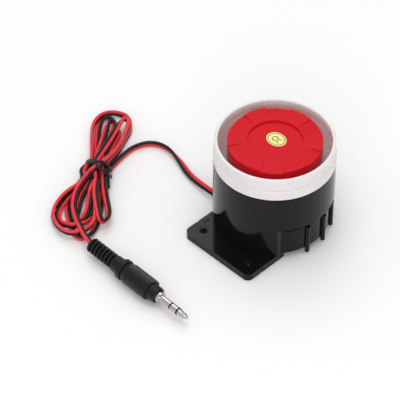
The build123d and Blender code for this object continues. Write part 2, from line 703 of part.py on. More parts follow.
relief_profile = [(0, 0.6 * RIDGE_R)]
for index in range(RIDGE_COUNT):
    ridge_start = index * RIDGE_PITCH
    ridge_radius = RIDGE_R + index * RIDGE_GROWTH
    relief_profile += [
        (ridge_start, ridge_radius - 0.35),
        (ridge_start + 0.35, ridge_radius),
        (ridge_start + RIDGE_W - 0.35, ridge_radius),
        (ridge_start + RIDGE_W, ridge_radius - 0.35),
        (ridge_start + RIDGE_W, GROOVE_R),
        (ridge_start + RIDGE_PITCH, GROOVE_R),
    ]
neck_start = RIDGE_COUNT * RIDGE_PITCH
relief_profile += [
    (neck_start, NECK_R - 0.5),
    (neck_start + 0.5, NECK_R - 0.15),
    (COLLAR_START, NECK_R + 0.1),
    (COLLAR_START + 0.1, COLLAR_R - 0.6),
    (COLLAR_START + 0.6, COLLAR_R),
    (BARREL_START - 0.4, COLLAR_R),
    (BARREL_START, COLLAR_R - 0.4),
]
relief_body = turned_piece(relief_profile)
with BuildPart() as plug_relief:
    add(relief_body)
    # Two spines join the ridges
    with BuildSketch(plug_plane(RIDGE_W / 2)):
        Rectangle(SPINE_W, 2 * (RIDGE_R - 0.3))
    extrude(amount=neck_start - RIDGE_W / 2 + 0.3)
save(plug_relief.part, "plug_relief")

plug_lead_whole = round_lead(PLUG_LEAD, CORD_R, "plug_lead")
with BuildPart() as plug_lead:
    add(plug_lead_whole)
    add(cord_hank.part, mode=Mode.SUBTRACT)
    add(plug_relief.part, mode=Mode.SUBTRACT)
save(plug_lead.part, "plug_lead")

barrel_body = turned_piece([
    (BARREL_START, BARREL_R - 0.8),
    (BARREL_START + 0.9, BARREL_R - 0.6),
    (BARREL_START + 2.4, BARREL_R),
    (BARREL_END - 0.5, BARREL_R),
    (BARREL_END, BARREL_R - 0.5),
    (BARREL_END, NOSE_BASE_R),
    (NOSE_END - 0.5, NOSE_TIP_R),
    (NOSE_END, NOSE_TIP_R - 0.5),
])
with BuildPart() as plug_barrel:
    add(barrel_body)
    with BuildSketch(plug_plane(BARREL_START)):
        with Locations((0, GRIP_FLAT), (0, -GRIP_FLAT - 2.0)):
            Rectangle(14.0, 2.0, align=(Align.CENTER, Align.MIN))
    extrude(amount=BARREL_END - BARREL_START, mode=Mode.SUBTRACT)
save(plug_barrel.part, "plug_barrel")

save(turned_piece([
    (NOSE_END, 2.6),
    (PIN_SEAT - 0.2, 2.6),
    (PIN_SEAT, 2.4),
    (PIN_SEAT, PIN_R),
    (SLEEVE_END, PIN_R),
]), "plug_sleeve_contact")
save(turned_piece([
    (SLEEVE_END + BAND_T, PIN_R),
    (RING_END, PIN_R),
]), "plug_ring_contact")
save(turned_piece([
    (RING_END + BAND_T, PIN_R - 0.1),
    (TIP_END - 3.0, PIN_R - 0.45),
    (TIP_END - 2.2, PIN_R - 0.25),
    (TIP_END - 0.6, 0.85),
    (TIP_END, 0.5),
]), "plug_tip_contact")
insulator_bands = [turned_piece([(start, PIN_R), (start + BAND_T, PIN_R)])
                   for start in (SLEEVE_END, RING_END)]
with BuildPart() as plug_insulators:
    add(insulator_bands)
save(plug_insulators.part, "plug_insulators")
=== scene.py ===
"""Looks of a mini alarm siren: gloss mouldings, a hanked twin lead with its twist tie, and a jack plug.

Metres, +Z up along the horn's axis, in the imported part's own frame.
"""

from math import acos, cos, pi, radians, sin

import bpy
from mathutils import Matrix, Vector


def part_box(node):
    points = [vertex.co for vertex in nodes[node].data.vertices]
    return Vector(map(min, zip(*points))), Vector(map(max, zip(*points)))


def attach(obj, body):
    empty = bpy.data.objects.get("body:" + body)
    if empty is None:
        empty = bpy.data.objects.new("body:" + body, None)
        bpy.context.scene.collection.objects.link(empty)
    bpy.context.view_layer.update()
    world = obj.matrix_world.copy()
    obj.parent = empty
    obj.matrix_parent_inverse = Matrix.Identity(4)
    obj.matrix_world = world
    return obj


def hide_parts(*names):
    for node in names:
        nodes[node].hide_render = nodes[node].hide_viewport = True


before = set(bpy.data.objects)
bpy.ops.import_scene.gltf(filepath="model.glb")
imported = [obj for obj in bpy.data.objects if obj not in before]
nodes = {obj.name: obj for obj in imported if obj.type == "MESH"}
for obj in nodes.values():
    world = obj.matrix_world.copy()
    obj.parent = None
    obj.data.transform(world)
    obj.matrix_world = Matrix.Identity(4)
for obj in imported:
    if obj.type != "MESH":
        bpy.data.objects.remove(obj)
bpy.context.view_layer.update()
MM = 0.001
scene = bpy.context.scene
scene.view_settings.view_transform = "Standard"


# ---------------------------------------------------------------- camera
CAMERA_AT = Vector((0.50740, -0.55025, 0.75014))
CAMERA_AIM = Vector((-0.03174, -0.01535, 0.0))
CAMERA_ROLL = radians(-0.10)
camera_data = bpy.data.cameras.new("camera")
camera_data.sensor_width = 36.0
camera_data.lens = 208.9
camera_data.clip_start = 0.05
camera_data.clip_end = 20.0
camera = bpy.data.objects.new("camera", camera_data)
scene.collection.objects.link(camera)
aim = (CAMERA_AIM - CAMERA_AT).to_track_quat("-Z", "Y").to_matrix().to_4x4()
camera.matrix_world = Matrix.Translation(CAMERA_AT) @ aim @ Matrix.Rotation(CAMERA_ROLL, 4, "Z")
scene.camera = camera


# ---------------------------------------------------------------- material helpers
WAVE_SIZE = 0.009         # slow moulding waves
SMUDGE_SIZE = 0.0022      # patches of uneven gloss


def new_material(name):
    """A plain Principled material, its tree and its shader."""
    material = bpy.data.materials.new(name)
    material.use_nodes = True
    tree = material.node_tree
    shader = tree.nodes["Principled BSDF"]
    return material, tree, shader


def place(tree, kind, **values):
    """A node with its plain properties set."""
    node = tree.nodes.new(kind)
    for key, value in values.items():
        setattr(node, key, value)
    return node


def coordinates(tree, stretch=(1.0, 1.0, 1.0)):
    """Object coordinates, scaled along each axis."""
    source = place(tree, "ShaderNodeTexCoord")
    mapping = place(tree, "ShaderNodeMapping")
    mapping.inputs["Scale"].default_value = stretch
    tree.links.new(source.outputs["Object"], mapping.inputs["Vector"])
    return mapping.outputs["Vector"]


def noise(tree, vector, size, detail=3.0, roughness=0.55):
    """Noise whose features are about size metres across."""
    node = place(tree, "ShaderNodeTexNoise")
    node.inputs["Scale"].default_value = 1.0 / size
    node.inputs["Detail"].default_value = detail
    node.inputs["Roughness"].default_value = roughness
    tree.links.new(vector, node.inputs["Vector"])
    return node.outputs["Fac"]


def spread(tree, value, low, high, start=0.3, end=0.7):
    """Maps a value from start..end to low..high."""
    node = place(tree, "ShaderNodeMapRange")
    node.inputs["From Min"].default_value = start
    node.inputs["From Max"].default_value = end
    node.inputs["To Min"].default_value = low
    node.inputs["To Max"].default_value = high
    tree.links.new(value, node.inputs["Value"])
    return node.outputs["Result"]


def blend_colours(tree, factor, first, second):
    """A mix of two colours or colour outputs."""
    node = place(tree, "ShaderNodeMix", data_type="RGBA")
    tree.links.new(factor, node.inputs["Factor"])
    for socket, colour in ((node.inputs[6], first), (node.inputs[7], second)):
        if isinstance(colour, tuple):
            socket.default_value = (*colour, 1.0)
        else:
            tree.links.new(colour, socket)
    return node.outputs[2]


def arithmetic(tree, operation, first, second=None):
    """A Math node on outputs or numbers."""
    node = place(tree, "ShaderNodeMath", operation=operation)
    for socket, value in zip(node.inputs, (first, second)):
        if value is None:
            continue
        if isinstance(value, (int, float)):
            socket.default_value = value
        else:
            tree.links.new(value, socket)
    return node.outputs["Value"]


def within(tree, value, limit):
    """1 where a value is nearer to zero than a limit, and 0 elsewhere."""
    return arithmetic(tree, "LESS_THAN", arithmetic(tree, "ABSOLUTE", value), limit)


def bump(tree, height, depth, strength=1.0, below=None):
    """A bump of depth metres, laid over another one if given."""
    node = place(tree, "ShaderNodeBump")
    node.inputs["Strength"].default_value = strength
    node.inputs["Distance"].default_value = depth
    tree.links.new(height, node.inputs["Height"])
    if below is not None:
        tree.links.new(below, node.inputs["Normal"])
    return node.outputs["Normal"]


def moulded(name, colour, tint, rough, grain=0.00025, grain_depth=0.000004, wave_depth=0.00003,
            specular=0.5, metallic=0.0, subsurface=0.0, stretch=(1.0, 1.0, 1.0), mottle=0.004):
    """Plastic, rubber or metal with mottled colour, uneven gloss, fine grain and slow moulding waves."""
    material, tree, shader = new_material(name)
    vector = coordinates(tree, stretch)
    broad = noise(tree, vector, mottle, 4.0)
    fine = noise(tree, vector, grain, 5.0, 0.65)
    slow = noise(tree, vector, WAVE_SIZE, 1.0, 0.3)
    blended = blend_colours(tree, spread(tree, broad, 0.0, 1.0), colour, tint)
    tree.links.new(blended, shader.inputs["Base Color"])
    smudge = noise(tree, vector, SMUDGE_SIZE, 6.0, 0.7)
    tree.links.new(spread(tree, smudge, rough[0], rough[1], 0.35, 0.65), shader.inputs["Roughness"])
    waves = bump(tree, slow, wave_depth, 0.5)
    tree.links.new(bump(tree, fine, grain_depth, 0.6, waves), shader.inputs["Normal"])
    shader.inputs["Specular IOR Level"].default_value = specular
    shader.inputs["Metallic"].default_value = metallic
    if subsurface:
        shader.inputs["Subsurface Weight"].default_value = subsurface
        shader.inputs["Subsurface Radius"].default_value = (0.0015, 0.001, 0.0008)
        shader.inputs["Subsurface Scale"].default_value = 1.0
    return material


# ---------------------------------------------------------------- materials
CORD_RED = moulded("cord_red", (0.72, 0.022, 0.038), (0.82, 0.045, 0.062), (0.28, 0.40), grain=0.00012,
                   grain_depth=0.000002, wave_depth=0.00002, specular=0.35, subsurface=0.03)
CORD_BLACK = moulded("cord_black", (0.0045, 0.0042, 0.0046), (0.0075, 0.0070, 0.0075), (0.26, 0.38),
                     grain=0.00012, grain_depth=0.000002, wave_depth=0.00002, specular=0.30)
HOUSING = moulded("housing_gloss", (0.0052, 0.0049, 0.0052), (0.0066, 0.0062, 0.0066), (0.07, 0.13),
                  grain=0.0002, grain_depth=0.0000010, wave_depth=0.000012, specular=0.18)
COVER = moulded("cover_satin", (0.010, 0.010, 0.011), (0.017, 0.017, 0.018), (0.38, 0.55), grain=0.0003,
                grain_depth=0.000012)
HORN = moulded("horn_white", (0.80, 0.755, 0.757), (0.82, 0.775, 0.777), (0.24, 0.30), grain=0.0002,
               grain_depth=0.0000015, wave_depth=0.000006, specular=0.25, subsurface=0.12, mottle=0.006)
CAP = moulded("cap_red", (0.60, 0.0065, 0.015), (0.63, 0.0085, 0.018), (0.30, 0.40), grain=0.0002,
              grain_depth=0.000002, wave_depth=0.000008, specular=0.09, subsurface=0.03, mottle=0.006)
PLUG = moulded("plug_satin", (0.0050, 0.0050, 0.0055), (0.0085, 0.0085, 0.0090), (0.30, 0.42),
               grain=0.00018, grain_depth=0.000005, specular=0.24)
TIE = moulded("tie_satin", (0.0055, 0.0055, 0.0060), (0.011, 0.011, 0.0115), (0.32, 0.48), grain=0.0003,
              grain_depth=0.000010, specular=0.26)
GROMMET = moulded("grommet_rubber", (0.014, 0.014, 0.014), (0.024, 0.024, 0.024), (0.50, 0.70),
                  grain=0.0002, grain_depth=0.000012)
STEEL = moulded("zinc_plate", (0.50, 0.50, 0.52), (0.60, 0.60, 0.60), (0.24, 0.42), grain=0.0001,
                grain_depth=0.000003, metallic=1.0, stretch=(1.0, 6.0, 1.0))
NICKEL = moulded("nickel_plate", (0.50, 0.455, 0.43), (0.62, 0.575, 0.55), (0.12, 0.24), grain=0.00008,
                 grain_depth=0.0000015, wave_depth=0.00001, metallic=1.0, stretch=(0.4, 5.0, 5.0))
EPOXY = moulded("black_epoxy", (0.016, 0.016, 0.017), (0.030, 0.029, 0.029), (0.45, 0.62), grain=0.00012,
                grain_depth=0.000010)
FERRITE = moulded("ferrite_grey", (0.030, 0.030, 0.033), (0.055, 0.054, 0.056), (0.55, 0.75), grain=0.0001,
                  grain_depth=0.000015)
DIPPED_TAN = moulded("dipped_tan", (0.50, 0.24, 0.06), (0.62, 0.34, 0.10), (0.28, 0.42), grain=0.0003,
                     grain_depth=0.000015)
CLAMP = moulded("clamp_grey", (0.13, 0.13, 0.14), (0.19, 0.19, 0.20), (0.36, 0.52), grain=0.0003,
                grain_depth=0.000010)
GASKET = moulded("gasket_foam", (0.018, 0.018, 0.018), (0.040, 0.040, 0.040), (0.75, 0.92), grain=0.00035,
                 grain_depth=0.000045)
INNER_RED = moulded("inner_red", (0.60, 0.020, 0.025), (0.72, 0.040, 0.045), (0.30, 0.45), grain=0.00012,
                    grain_depth=0.000003)
INNER_BLACK = moulded("inner_black", (0.012, 0.012, 0.012), (0.022, 0.022, 0.022), (0.32, 0.48),
                      grain=0.00012, grain_depth=0.000003)
INNER_BLUE = moulded("inner_blue", (0.02, 0.06, 0.30), (0.03, 0.09, 0.40), (0.32, 0.48), grain=0.00010,
                     grain_depth=0.000003)
CERAMIC = moulded("fired_ceramic", (0.60, 0.59, 0.57), (0.70, 0.69, 0.66), (0.40, 0.62), grain=0.0001,
                  grain_depth=0.000010, metallic=0.35)


def brass_material():
    """Rolled brass with fine turned rings."""
    material, tree, shader = new_material("turned_brass")
    vector = coordinates(tree)
    rings = place(tree, "ShaderNodeTexWave", wave_type="RINGS", rings_direction="Z")
    rings.inputs["Scale"].default_value = 900.0
    rings.inputs["Distortion"].default_value = 1.5
    tree.links.new(vector, rings.inputs["Vector"])
    stain = noise(tree, vector, 0.004, 4.0)
    blended = blend_colours(tree, spread(tree, stain, 0.0, 1.0), (0.66, 0.44, 0.16), (0.78, 0.58, 0.27))
    tree.links.new(blended, shader.inputs["Base Color"])
    tree.links.new(spread(tree, rings.outputs["Fac"], 0.22, 0.40, 0.0, 1.0), shader.inputs["Roughness"])
    tree.links.new(bump(tree, rings.outputs["Fac"], 0.000004, 0.5), shader.inputs["Normal"])
    shader.inputs["Metallic"].default_value = 1.0
    return material


def winding_material():
    """Enamelled copper turns stacked along Z."""
    material, tree, shader = new_material("copper_turns")
    vector = coordinates(tree)
    turns = place(tree, "ShaderNodeTexWave", wave_type="BANDS", bands_direction="Z")
    turns.inputs["Scale"].default_value = 1250.0
    tree.links.new(vector, turns.inputs["Vector"])
    stain = noise(tree, vector, 0.0015, 3.0)
    blended = blend_colours(tree, spread(tree, stain, 0.0, 1.0), (0.48, 0.15, 0.05), (0.66, 0.27, 0.11))
    tree.links.new(blended, shader.inputs["Base Color"])
    tree.links.new(bump(tree, turns.outputs["Fac"], 0.00008), shader.inputs["Normal"])
    tree.links.new(spread(tree, stain, 0.24, 0.36), shader.inputs["Roughness"])
    shader.inputs["Metallic"].default_value = 0.85
    shader.inputs["Coat Weight"].default_value = 0.5
    return material


def board_material():
    """Green solder mask with lighter copper tracks under it."""
    material, tree, shader = new_material("solder_mask")
    vector = coordinates(tree)
    cells = place(tree, "ShaderNodeTexBrick")
    cells.inputs["Scale"].default_value = 260.0
    cells.inputs["Mortar Size"].default_value = 0.12
    cells.inputs["Color1"].default_value = (1.0, 1.0, 1.0, 1.0)
    cells.inputs["Color2"].default_value = (0.7, 0.7, 0.7, 1.0)
    cells.inputs["Mortar"].default_value = (0.0, 0.0, 0.0, 1.0)
    tree.links.new(vector, cells.inputs["Vector"])
    weave = noise(tree, vector, 0.0006, 3.0)
    tracks = blend_colours(tree, cells.outputs["Fac"], (0.012, 0.105, 0.035), (0.03, 0.21, 0.08))
    tree.links.new(blend_colours(tree, spread(tree, weave, 0.0, 0.5), tracks, (0.015, 0.13, 0.05)),
                   shader.inputs["Base Color"])
    tree.links.new(spread(tree, weave, 0.22, 0.38), shader.inputs["Roughness"])
    tree.links.new(bump(tree, cells.outputs["Fac"], 0.00004), shader.inputs["Normal"])
    return material


def banded_material(name, body, bands, pitch, direction):
    """A lacquered body with darker bands across it."""
    material, tree, shader = new_material(name)
    vector = coordinates(tree)
    wave = place(tree, "ShaderNodeTexWave", wave_type="BANDS", bands_direction=direction)
    wave.inputs["Scale"].default_value = pitch
    tree.links.new(vector, wave.inputs["Vector"])
    grain = noise(tree, vector, 0.0004, 3.0)
    mask = spread(tree, wave.outputs["Fac"], 0.0, 1.0, 0.80, 0.86)
    tree.links.new(blend_colours(tree, mask, body, bands), shader.inputs["Base Color"])
    tree.links.new(spread(tree, grain, 0.22, 0.40), shader.inputs["Roughness"])
    tree.links.new(bump(tree, grain, 0.000008, 0.6), shader.inputs["Normal"])
    return material


# The label's print: its turn and half size, then places and widths in shares of that half size
LABEL_TURN = radians(-2.0)
LABEL_HALF = (0.0049, 0.0040, 1.0)
BORDER_AT = 0.83
BORDER_HALF = 0.05
MARK_AT = 0.24
MARK_HALF = 0.085
MARK_REACH = 0.46
RIPPLE_RATE = 11.0
RIPPLE_HEIGHT = 0.10


def label_material():
    """Pale yellow printed label: a thin olive border and two plain wave lines."""
    material, tree, shader = new_material("label_print")
    low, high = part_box("cap_label")
    middle = (low + high) / 2
    source = place(tree, "ShaderNodeTexCoord")
    local = place(tree, "ShaderNodeMapping", vector_type="TEXTURE")
    local.inputs["Location"].default_value = middle
    local.inputs["Rotation"].default_value = (0.0, 0.0, LABEL_TURN)
    local.inputs["Scale"].default_value = LABEL_HALF
    tree.links.new(source.outputs["Object"], local.inputs["Vector"])
    parts = place(tree, "ShaderNodeSeparateXYZ")
    tree.links.new(local.outputs["Vector"], parts.inputs["Vector"])
    across, along = parts.outputs["X"], parts.outputs["Y"]
    across_squared = arithmetic(tree, "MULTIPLY", across, across)
    along_squared = arithmetic(tree, "MULTIPLY", along, along)
    reach = arithmetic(tree, "SQRT", arithmetic(tree, "ADD", across_squared, along_squared))
    border = within(tree, arithmetic(tree, "SUBTRACT", reach, BORDER_AT), BORDER_HALF)
    swing = arithmetic(tree, "SINE", arithmetic(tree, "MULTIPLY", across, RIPPLE_RATE))
    ripple = arithmetic(tree, "MULTIPLY", swing, RIPPLE_HEIGHT)
    height = arithmetic(tree, "ADD", arithmetic(tree, "ABSOLUTE", along), ripple)
    line = within(tree, arithmetic(tree, "SUBTRACT", height, MARK_AT), MARK_HALF)
    inside = within(tree, across, MARK_REACH)
    mark = arithmetic(tree, "MULTIPLY", line, inside)
    ink = arithmetic(tree, "MAXIMUM", border, mark)
    vector = coordinates(tree)
    fibre = noise(tree, vector, 0.0004, 4.0)
    worn = arithmetic(tree, "MULTIPLY", ink, spread(tree, fibre, 0.72, 1.0, 0.35, 0.6))
    paper = blend_colours(tree, spread(tree, fibre, 0.0, 1.0), (0.80, 0.79, 0.25), (0.86, 0.85, 0.34))
    tree.links.new(blend_colours(tree, worn, paper, (0.13, 0.12, 0.015)), shader.inputs["Base Color"])
    tree.links.new(spread(tree, fibre, 0.34, 0.50), shader.inputs["Roughness"])
    tree.links.new(bump(tree, fibre, 0.000006, 0.6), shader.inputs["Normal"])
    return material


BLUE_SLEEVE = banded_material("blue_sleeve", (0.012, 0.035, 0.17), (0.45, 0.47, 0.50), 70.0, "X")
RESISTOR = banded_material("resistor_bands", (0.58, 0.44, 0.26), (0.18, 0.05, 0.02), 420.0, "Y")
DIODE = banded_material("diode_band", (0.018, 0.018, 0.018), (0.52, 0.52, 0.52), 110.0, "Y")

LOOKS = {
    "housing": HOUSING,
    "base_cover": COVER,
    "cover_screws": STEEL,
    "clamp_screws": STEEL,
    "board_screws": STEEL,
    "horn_ring": HORN,
    "reflector_cap": CAP,
    "cap_label": label_material(),
    "diaphragm_disc": brass_material(),
    "piezo_ceramic": CERAMIC,
    "diaphragm_gasket": GASKET,
    "driver_clamp": CLAMP,
    "circuit_board": board_material(),
    "inductor_core": FERRITE,
    "inductor_winding": winding_material(),
    "switching_transistor": EPOXY,
    "timer_chip": EPOXY,
    "electrolytic_capacitor": BLUE_SLEEVE,
    "disc_capacitor": DIPPED_TAN,
    "resistors": RESISTOR,
    "protection_diode": DIODE,
    "inner_lead_red": INNER_RED,
    "inner_lead_black": INNER_BLACK,
    "piezo_leads": INNER_BLUE,
    "cord_grommet": GROMMET,
    "plug_relief": PLUG,
    "plug_barrel": PLUG,
    "plug_sleeve_contact": NICKEL,
    "plug_ring_contact": NICKEL,
    "plug_tip_contact": NICKEL,
    "plug_insulators": PLUG,
    "cord_tie": TIE,
    "cord_hank": CORD_RED,
    "body_lead": CORD_RED,
    "plug_lead": CORD_RED,
}
for name, material in LOOKS.items():
    mesh = nodes[name].data
    mesh.materials.clear()
    mesh.materials.append(material)


# ---------------------------------------------------------------- mesh helpers
def add_mesh(name, points, faces, materials, slots=None, sharp=()):
    """A smooth-shaded mesh object from lists of points and faces."""
    mesh = bpy.data.meshes.new(name)
    mesh.from_pydata([tuple(point) for point in points], [], faces)
    for material in materials:
        mesh.materials.append(material)
    for polygon in mesh.polygons:
        polygon.use_smooth = True
        if slots is not None:
            polygon.material_index = slots[polygon.index]
    creases = set(sharp)
    if creases:
        for edge in mesh.edges:
            edge.use_edge_sharp = tuple(sorted(edge.vertices)) in creases
    mesh.validate()
    mesh.update()
    piece = bpy.data.objects.new(name, mesh)
    scene.collection.objects.link(piece)
    return piece


SAME_SPOT = 1e-6          # points nearer than this are one point


def nurbs_points(route, resolution):
    """The points of the smooth NURBS line that a route controls, with none of them twice."""
    data = bpy.data.curves.new("route", "CURVE")
    data.dimensions = "3D"
    spline = data.splines.new("NURBS")
    spline.points.add(len(route) - 1)
    for point, spot in zip(spline.points, route):
        point.co = (*spot, 1.0)
    spline.order_u = 3
    spline.use_endpoint_u = True
    spline.resolution_u = resolution
    holder = bpy.data.objects.new("route", data)
    scene.collection.objects.link(holder)
    bpy.context.view_layer.update()
    line = bpy.data.meshes.new_from_object(holder)
    points = [vertex.co.copy() for vertex in line.vertices]
    moved = [after for before, after in zip(points, points[1:]) if (after - before).length > SAME_SPOT]
    bpy.data.objects.remove(holder)
    bpy.data.curves.remove(data)
    bpy.data.meshes.remove(line)
    return points[:1] + moved


def tangents(points):
    """The direction of travel at each point."""
    found = []
    last = len(points) - 1
    for index in range(len(points)):
        step = points[min(index + 1, last)] - points[max(index - 1, 0)]
        found.append(step.normalized())
    return found


# ---------------------------------------------------------------- twin lead
# The route where it isn't folded, close to the CAD's: from the body to the hank, and on to the plug
BODY_LEAD = [
    (-0.0267, -0.0104, 0.0038), (-0.0350, -0.0103, 0.0033), (-0.0456, -0.0086, 0.0017),
    (-0.0560, -0.0047, 0.0016), (-0.0660, -0.0024, 0.0016), (-0.0744, -0.0056, 0.0016),
    (-0.0778, -0.0140, 0.0016), (-0.0768, -0.0226, 0.0016), (-0.0752, -0.0296, 0.0016),
]
PLUG_LEAD = [
    (-0.0605, -0.0660, 0.0047), (-0.0550, -0.0692, 0.0058), (-0.0482, -0.0719, 0.0052),
    (-0.0420, -0.0733, 0.0051),
]
# How the twin lies at each of those points, in degrees: the red core's place round the
# direction of travel, 0 to its left, 90 on top, 180 to its right, 270 below
BODY_LEAD_TURNS = [110, 120, 150, 215, 265, 270, 270, 275, 285]
PLUG_LEAD_TURNS = [510, 510, 510, 510]

HANK_AT = Vector((-0.07798, -0.03568, 0.0))
HANK_ALONG = Vector((-0.5955, 0.8033, 0.0))
HANK_ACROSS = Vector((0.8033, 0.5955, 0.0))
# The folds one after another, in millimetres: along the hank, across it, height, twin's turn
HANK = [
    (0.9, 4.9, 1.6, 270), (-4.2, 4.1, 1.6, 235), (-10.1, 3.8, 1.0, 190), (-16.8, 4.3, 0.8, 180),
    (-23.8, 5.0, 0.8, 180), (-30.4, 5.3, 0.8, 180), (-35.7, 5.3, 1.0, 190), (-40.6, 4.4, 1.3, 215),
    (-43.9, 2.6, 1.5, 240), (-45.2, -0.2, 1.6, 270), (-43.5, -3.1, 1.6, 290), (-39.5, -5.4, 1.3, 320),
    (-34.4, -7.1, 1.0, 345), (-30.5, -8.7, 0.9, 355), (-26.1, -9.8, 0.8, 360), (-20.9, -10.1, 0.8, 360),
    (-15.5, -9.3, 0.8, 360), (-10.0, -7.6, 0.8, 360), (-3.8, -5.2, 0.9, 360), (1.3, -3.7, 1.7, 360),
    (10.3, -3.1, 0.8, 360), (17.1, -4.0, 0.9, 360), (23.9, -5.0, 0.8, 360), (29.3, -5.5, 0.9, 355),
    (33.5, -5.2, 1.2, 330), (35.9, -3.6, 1.6, 290), (35.3, -0.6, 1.6, 270), (32.3, 1.8, 1.6, 250),
    (28.8, 3.0, 1.3, 215), (23.1, 3.2, 1.0, 190), (16.2, 2.8, 0.9, 180), (9.0, 1.8, 1.1, 200),
    (1.4, 0.3, 1.7, 240), (-5.5, 0.2, 1.5, 300), (-12.7, 1.1, 1.7, 345), (-20.3, 2.5, 2.4, 360),
    (-26.2, 3.3, 2.2, 370), (-31.1, 2.6, 1.6, 390), (-36.1, 0.1, 2.4, 420), (-40.1, -3.5, 4.2, 440),
    (-40.0, -7.1, 3.8, 455), (-38.3, -10.4, 3.0, 480), (-35.0, -12.5, 2.6, 505), (-30.7, -13.3, 2.3, 525),
    (-26.2, -12.5, 2.2, 540), (-21.3, -10.9, 2.4, 540), (-14.7, -8.1, 2.2, 540), (-7.3, -5.1, 2.3, 540),
    (-0.4, -3.4, 3.3, 540), (6.6, -1.1, 2.5, 540), (13.0, -0.1, 2.0, 540), (18.6, 1.1, 2.2, 530),
    (22.9, 2.8, 2.8, 500), (25.0, 4.5, 3.6, 450), (23.2, 5.5, 3.6, 400), (18.5, 4.4, 3.6, 370),
    (12.8, 2.9, 3.1, 360), (7.0, 1.5, 3.3, 360), (-0.5, 0.4, 3.5, 360), (-7.5, 0.3, 3.4, 380),
    (-14.9, 0.5, 3.9, 400), (-21.2, 1.3, 3.9, 410), (-27.9, 2.9, 4.2, 420), (-33.4, 4.1, 4.1, 430),
    (-37.9, 3.7, 3.8, 440), (-41.3, 1.7, 3.7, 450), (-44.5, -1.2, 4.6, 450), (-44.9, -4.3, 4.1, 450),
    (-43.8, -7.7, 3.6, 450), (-41.2, -11.0, 3.2, 450), (-38.0, -13.4, 3.1, 455), (-34.4, -15.0, 3.1, 460),
    (-30.6, -15.5, 3.3, 465), (-26.7, -14.6, 3.8, 460), (-23.0, -13.1, 4.3, 450), (-19.1, -10.8, 4.6, 450),
    (-14.9, -7.8, 4.4, 460), (-11.0, -5.7, 4.2, 500), (-7.4, -5.6, 4.2, 530), (-4.1, -7.2, 4.2, 530),
    (-0.9, -5.8, 4.5, 500), (4.1, -4.1, 3.7, 460), (11.8, -5.6, 2.4, 450), (19.1, -6.9, 1.9, 450),
    (25.7, -8.0, 2.0, 450), (30.6, -7.8, 2.5, 450), (34.2, -6.2, 3.0, 450), (37.2, -3.8, 2.7, 450),
    (39.1, -0.1, 2.1, 450), (39.0, 3.5, 1.8, 450), (38.0, 6.6, 1.6, 450), (34.7, 8.8, 1.6, 450),
    (30.5, 9.8, 1.6, 450), (26.4, 9.7, 1.6, 450), (22.7, 8.8, 1.6, 450), (18.7, 7.9, 1.6, 450),
    (14.1, 7.3, 2.1, 450), (9.2, 5.7, 2.6, 450), (4.1, 4.4, 4.1, 460), (-0.7, 3.2, 3.8, 500),
    (-7.7, 1.5, 4.9, 540), (-13.9, 0.3, 5.9, 540), (-19.3, -0.2, 5.8, 540), (-25.0, 0.3, 4.9, 540),
    (-29.4, 0.4, 4.0, 530), (-33.8, -0.6, 3.4, 490), (-35.7, -2.6, 3.0, 450), (-33.6, -4.3, 2.8, 400),
    (-29.8, -4.6, 2.5, 375), (-24.8, -4.8, 2.3, 360), (-19.5, -4.7, 2.6, 360), (-14.9, -3.4, 3.0, 360),
    (-7.7, -2.0, 4.4, 360), (-2.0, -0.4, 5.0, 360), (5.3, -1.8, 4.4, 360), (11.8, -1.6, 3.6, 360),
    (18.2, -1.3, 3.4, 360), (23.9, -1.3, 3.2, 355), (28.7, -1.1, 3.6, 330), (31.2, -0.1, 3.9, 280),
    (30.4, 1.7, 3.9, 240), (25.4, 2.6, 5.0, 200), (19.9, 2.4, 4.9, 180), (13.5, 1.8, 4.5, 180),
    (4.8, 1.5, 5.6, 180), (-2.8, 3.2, 5.8, 180), (-8.6, 4.0, 6.1, 180), (-12.6, 4.8, 5.1, 180),
    (-18.4, 6.4, 4.4, 180), (-23.7, 8.2, 4.1, 180), (-29.0, 9.9, 4.2, 190), (-34.1, 10.4, 4.7, 230),
    (-36.9, 9.0, 5.1, 270), (-35.3, 7.2, 5.3, 310), (-31.7, 5.8, 6.3, 345), (-26.0, 3.9, 6.5, 360),
    (-20.7, 2.4, 6.8, 360), (-15.4, 1.6, 7.6, 360), (-9.4, 1.4, 6.6, 370), (-3.7, -1.3, 6.6, 450),
    (1.4, -1.1, 6.9, 540), (7.6, 0.4, 6.6, 540), (13.6, 1.8, 6.2, 540), (19.2, 3.1, 6.3, 540),
    (23.6, 4.4, 6.9, 535), (28.8, 5.2, 6.1, 500), (32.1, 6.1, 5.5, 465), (32.0, 8.1, 5.4, 450),
    (29.5, 8.8, 5.2, 450), (25.5, 8.7, 5.0, 450), (21.3, 8.2, 5.0, 440), (15.7, 7.4, 5.4, 430),
    (9.7, 6.2, 6.2, 425), (3.4, 4.4, 7.8, 425), (-0.8, 2.5, 8.4, 430), (-1.5, 1.8, 7.0, 440),
    (-7.5, -1.1, 9.2, 470), (-8.8, -3.7, 5.4, 500), (-16.2, -6.0, 5.9, 510), (-20.9, -7.0, 4.9, 510),
    (-26.6, -6.7, 4.9, 510), (-30.9, -5.8, 5.1, 510),
]
CORE_R = 0.81 * MM
CORE_OFF = 0.76 * MM      # each core's middle from the pair's middle
CORE_SIDES = 11           # faces round each core
LINE_STEPS = 10           # points of the line to each point of the route


def hank_spot(along, across, height):
    """A point given in the hank's own directions, in millimetres."""
    return HANK_AT + HANK_ALONG * along * MM + HANK_ACROSS * across * MM + Vector((0, 0, height * MM))


cord_route = [Vector(point) for point in BODY_LEAD]
cord_route += [hank_spot(along, across, height) for along, across, height, turn in HANK]
cord_route += [Vector(point) for point in PLUG_LEAD]
cord_turns = BODY_LEAD_TURNS + [turn for along, across, height, turn in HANK] + PLUG_LEAD_TURNS


